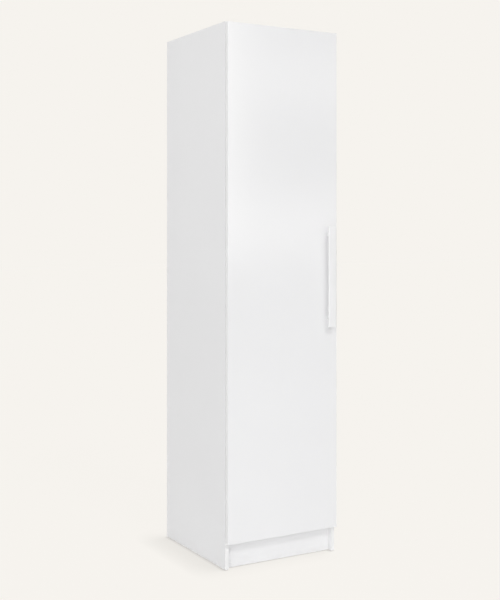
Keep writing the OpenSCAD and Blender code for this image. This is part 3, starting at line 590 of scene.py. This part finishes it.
class Room(Graph):
    """The world: what a direction shows to the camera, to glosses and to plain light."""

    def __init__(self):
        world = bpy.data.worlds.new("studio")
        bpy.context.scene.world = world
        world.use_nodes = True
        super().__init__(world.node_tree)
        self.coords = self.node("ShaderNodeTexCoord").outputs["Generated"]

    def along(self, axis):
        made = self.node("ShaderNodeVectorMath")
        made.operation = "DOT_PRODUCT"
        self.feed(made.inputs[0], self.coords)
        self.feed(made.inputs[1], axis)
        return made.outputs["Value"]

    def edge(self, distance, half, soft):
        """1 inside half, falling smoothly to 0 over soft on both sides of it."""
        made = self.node("ShaderNodeMapRange", Value=distance, From_Min=half - soft,
                         From_Max=half + soft, To_Min=1, To_Max=0)
        made.interpolation_type = "SMOOTHSTEP"
        return made.outputs["Result"]

    def soft_box(self, turn, rise, half_width, half_height, soft_width, soft_height, strength):
        """A rectangle in the room, seen from its middle, as the strength that it adds."""
        ahead = direction(turn, rise)
        up = direction(turn + 180, 90 - rise)
        right = direction(turn + 90, 0)
        depth = self.maths("MAXIMUM", self.along(ahead), LEAST_COSINE)
        across = self.maths("ABSOLUTE", self.maths("DIVIDE", self.along(right), depth))
        over = self.maths("ABSOLUTE", self.maths("DIVIDE", self.along(up), depth))
        mask = self.maths("MULTIPLY",
                          self.edge(across, math.radians(half_width), math.radians(soft_width)),
                          self.edge(over, math.radians(half_height), math.radians(soft_height)))
        front = self.maths("GREATER_THAN", self.along(ahead), BOX_AHEAD)
        return self.maths("MULTIPLY", self.maths("MULTIPLY", mask, front), strength)

    def background(self, tone, strength):
        return self.node("ShaderNodeBackground", Color=tone, Strength=strength).outputs[0]

    def build(self):
        gloss = 1.0
        for box in SOFT_BOXES:
            gloss = self.maths("ADD", self.soft_box(*box), gloss)
        gloss = self.maths("MAXIMUM", gloss, 0.0)
        rays = self.node("ShaderNodeLightPath").outputs
        plain = self.background((1, 1, 1, 1), WORLD_LIGHT)
        shown = self.choose(rays["Is Glossy Ray"], plain, self.background(PAPER, gloss))
        direct = self.maths("MAXIMUM", rays["Is Camera Ray"], rays["Is Transmission Ray"])
        shown = self.choose(direct, shown, self.background(PAPER, 1.0))
        self.feed(self.tree.nodes["World Output"].inputs["Surface"], shown)


Room().build()

# Lamps
# Far lamps: name, turn, rise and angular size in degrees, and strength
SUNS = [
    ("key", 2, 46, 12, 0.66),
    ("viewer", -37, 14, 30, 1.02),
    ("left", -78, 12, 35, 0.19),
    ("right", 100, 15, 40, 0.4),
    ("back", 180, 15, 40, 0.4),
]
# Near panels: name, place, the point that they face, their two sides in metres, and power in watts
PANELS = [
    ("side_fill", (-2.2, -0.9, 2.2), (-0.24, -0.15, 1.6), (1.0, 1.0), 5.5),
    ("low_bounce", (-0.8, -1.4, 0.25), (-0.16, -0.3, 0.12), (0.7, 0.4), 0.6),
]


def hang(data, position, target):
    """Puts a lamp at a place, turned to a target. Glosses show the room's soft boxes instead."""
    lamp = bpy.data.objects.new(data.name, data)
    lamp.visible_glossy = False
    lamp.location = position
    lamp.rotation_euler = (Vector(target) - Vector(position)).to_track_quat("-Z", "Y").to_euler()
    bpy.context.scene.collection.objects.link(lamp)


for name, turn, rise, size, strength in SUNS:
    sun = bpy.data.lights.new(name, "SUN")
    sun.angle = math.radians(size)
    sun.energy = strength
    hang(sun, direction(turn, rise), (0, 0, 0))

for name, position, target, sides, power in PANELS:
    panel = bpy.data.lights.new(name, "AREA")
    panel.shape = "RECTANGLE"
    panel.size, panel.size_y = sides
    panel.energy = power
    hang(panel, position, target)

# Camera, from the edges of the photograph: 30 degrees to the left of the front, level, shifted down
CAMERA_POSITION = (-2.0708, -3.5655, 1.2355)
CAMERA_TURN = math.radians(30.06)
CAMERA_LENS = 62.86
CAMERA_SENSOR = 36
CAMERA_SHIFT = -0.1145
CAMERA_REACH = 100
camera_data = bpy.data.cameras.new("camera")
camera_data.lens = CAMERA_LENS
camera_data.sensor_width = CAMERA_SENSOR
camera_data.shift_y = CAMERA_SHIFT
camera_data.clip_end = CAMERA_REACH
camera = bpy.data.objects.new("camera", camera_data)
camera.location = CAMERA_POSITION
camera.rotation_euler = (math.radians(90), 0, -CAMERA_TURN)
bpy.context.scene.collection.objects.link(camera)
bpy.context.scene.camera = camera

bpy.context.scene.view_settings.view_transform = "Standard"
